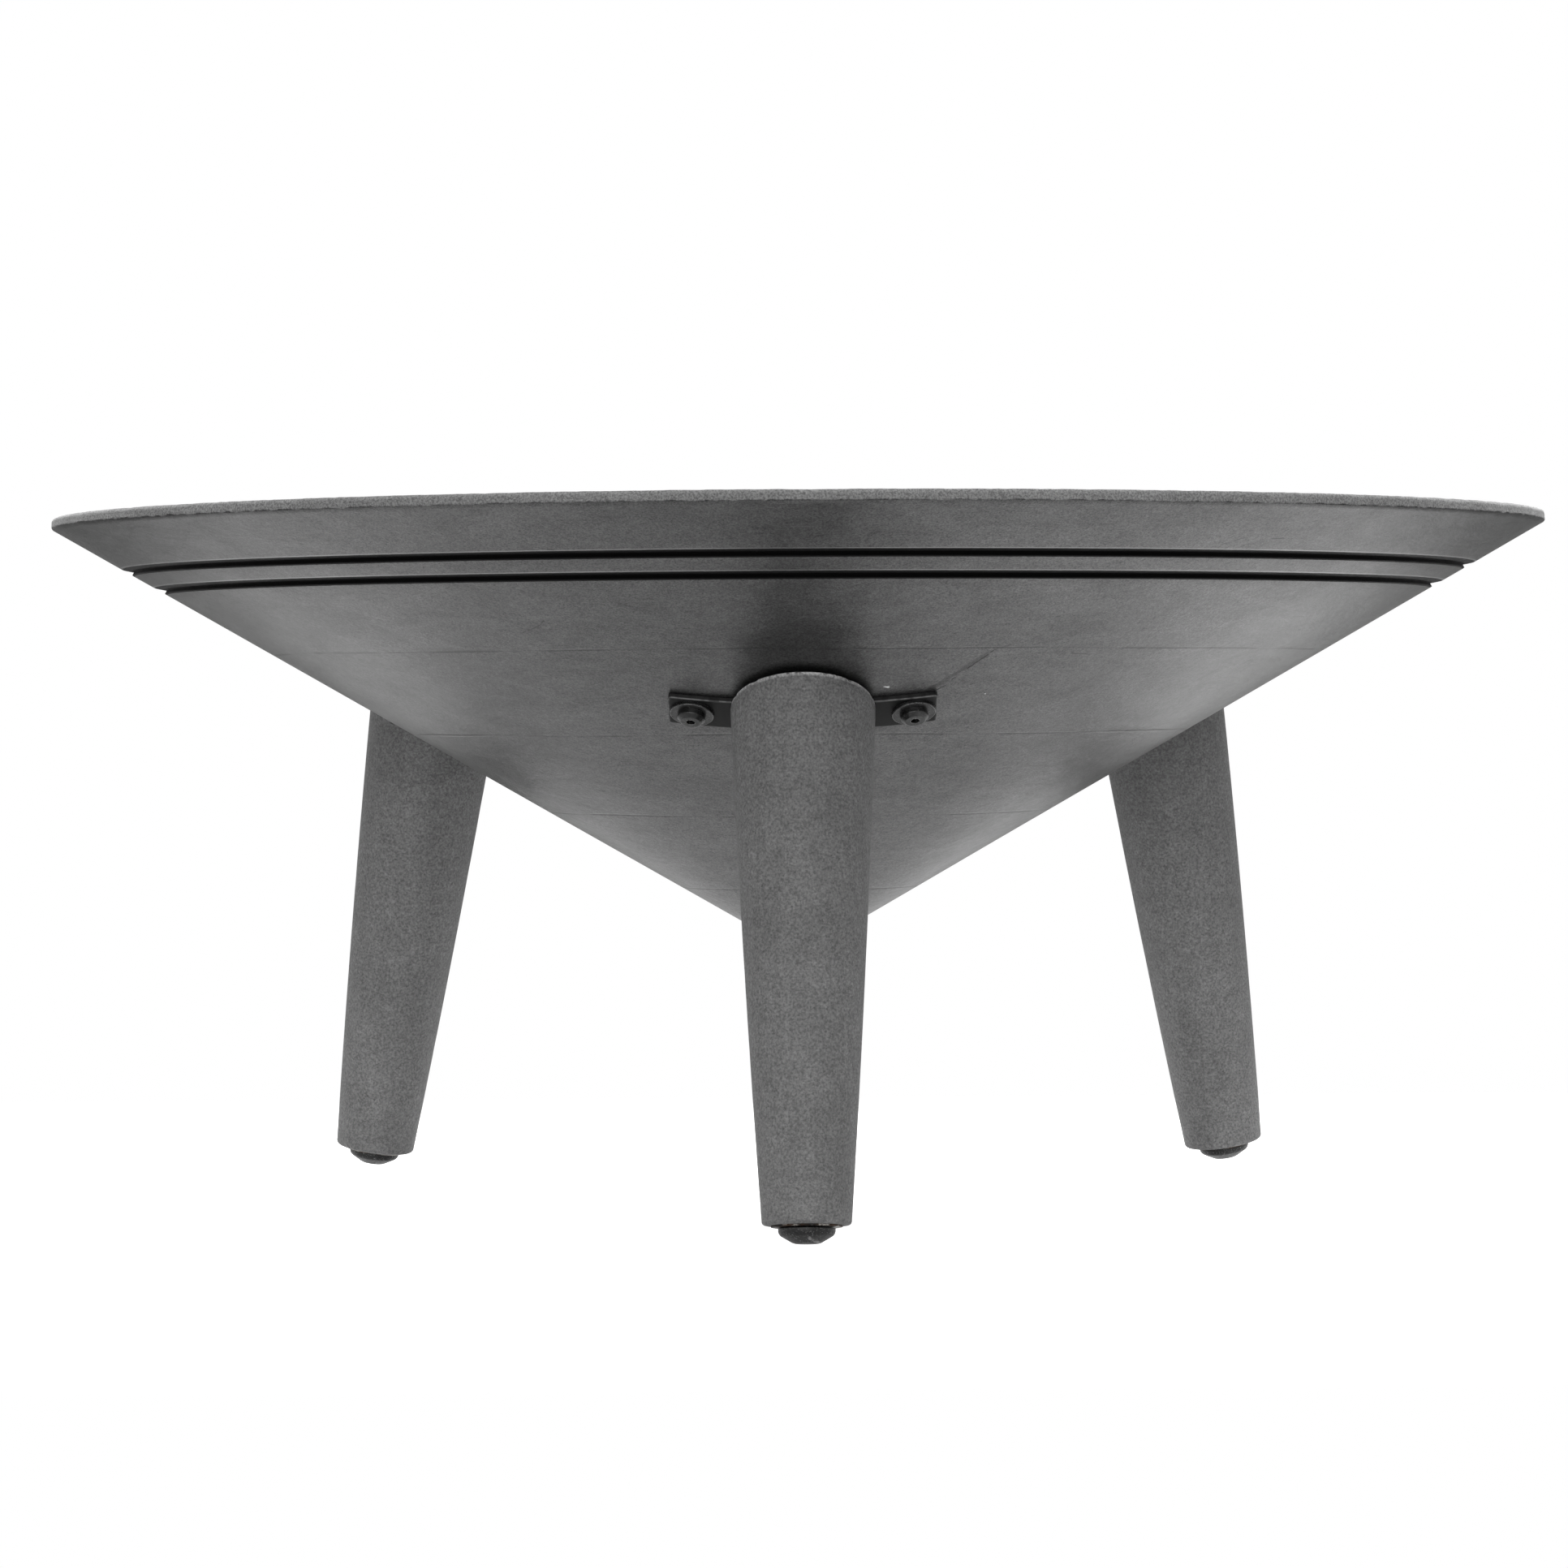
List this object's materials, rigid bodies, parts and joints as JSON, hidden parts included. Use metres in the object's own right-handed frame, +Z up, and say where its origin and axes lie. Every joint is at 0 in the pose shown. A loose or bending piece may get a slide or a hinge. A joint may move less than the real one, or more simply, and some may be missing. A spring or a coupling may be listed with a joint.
{
  "type": "coal forge hearth",
  "caption": "Wide conical forge hearth bowl with narrow grooves below its rim, on splayed round tapered legs with bolted straps and screw-adjustable levelling feet.",
  "frame": {"origin": "on the floor, under the middle of the bowl", "axes": "+Z is up, -Y is the side of the front leg, +X is to the right seen from the front leg's side"},
  "size_m": [0.9143, 0.9144, 0.4143],
  "materials": {
    "bowl_iron": "fine sand-cast iron, dark graphite grey, satin, with a paler grainy rim edge and blackened grooves",
    "leg_iron": "sand-cast iron, graphite grey, matte, with paler worn edges",
    "black_steel": "flat steel bar, black paint, semi-matte",
    "fastener_steel": "black-oxide steel with bright worn edges",
    "zinc_steel": "zinc-plated steel, satin",
    "pad_nylon": "black moulded nylon, satin, lightly scuffed"
  },
  "bodies": {
    "frame": {"hearth_bowl": "bowl_iron", "front_leg": "leg_iron", "front_leg_strap": "black_steel", "front_strap_bolts": "fastener_steel", "front_strap_washers": "fastener_steel", "front_leg_screws": "fastener_steel", "front_foot_bush": "zinc_steel", "rear_right_leg": "leg_iron", "rear_right_leg_strap": "black_steel", "rear_right_strap_bolts": "fastener_steel", "rear_right_strap_washers": "fastener_steel", "rear_right_leg_screws": "fastener_steel", "rear_right_foot_bush": "zinc_steel", "rear_left_leg": "leg_iron", "rear_left_leg_strap": "black_steel", "rear_left_strap_bolts": "fastener_steel", "rear_left_strap_washers": "fastener_steel", "rear_left_leg_screws": "fastener_steel", "rear_left_foot_bush": "zinc_steel"},
    "front_pad": {"front_foot_pad": "pad_nylon"},
    "front_stud": {"front_foot_stud": "zinc_steel"},
    "rear_right_pad": {"rear_right_foot_pad": "pad_nylon"},
    "rear_right_stud": {"rear_right_foot_stud": "zinc_steel"},
    "rear_left_pad": {"rear_left_foot_pad": "pad_nylon"},
    "rear_left_stud": {"rear_left_foot_stud": "zinc_steel"}
  },
  "joints": [
    {"name": "front_foot_travel", "type": "slide", "parent": "frame", "child": "front_pad", "axis": [0, -0.1685, -0.9857], "range_m": [0, 0.012]},
    {"name": "front_foot_turn", "type": "hinge", "parent": "front_pad", "child": "front_stud", "pos_m": [0, -0.3203, 0.01108], "axis": [0, -0.1685, -0.9857], "range_deg": [0, 2880]},
    {"name": "rear_right_foot_travel", "type": "slide", "parent": "frame", "child": "rear_right_pad", "axis": [0.1459, 0.0842, -0.9857], "range_m": [0, 0.012]},
    {"name": "rear_right_foot_turn", "type": "hinge", "parent": "rear_right_pad", "child": "rear_right_stud", "pos_m": [0.27739, 0.16015, 0.01108], "axis": [0.1459, 0.0842, -0.9857], "range_deg": [0, 2880]},
    {"name": "rear_left_foot_travel", "type": "slide", "parent": "frame", "child": "rear_left_pad", "axis": [-0.1459, 0.0842, -0.9857], "range_m": [0, 0.012]},
    {"name": "rear_left_foot_turn", "type": "hinge", "parent": "rear_left_pad", "child": "rear_left_stud", "pos_m": [-0.27739, 0.16015, 0.01108], "axis": [-0.1459, 0.0842, -0.9857], "range_deg": [0, 2880]}
  ],
  "couplings": [
    {"joint": "front_foot_turn", "follows": "front_foot_travel", "rad_per_m": 4188.8},
    {"joint": "rear_right_foot_turn", "follows": "rear_right_foot_travel", "rad_per_m": 4188.8},
    {"joint": "rear_left_foot_turn", "follows": "rear_left_foot_travel", "rad_per_m": 4188.8}
  ]
}
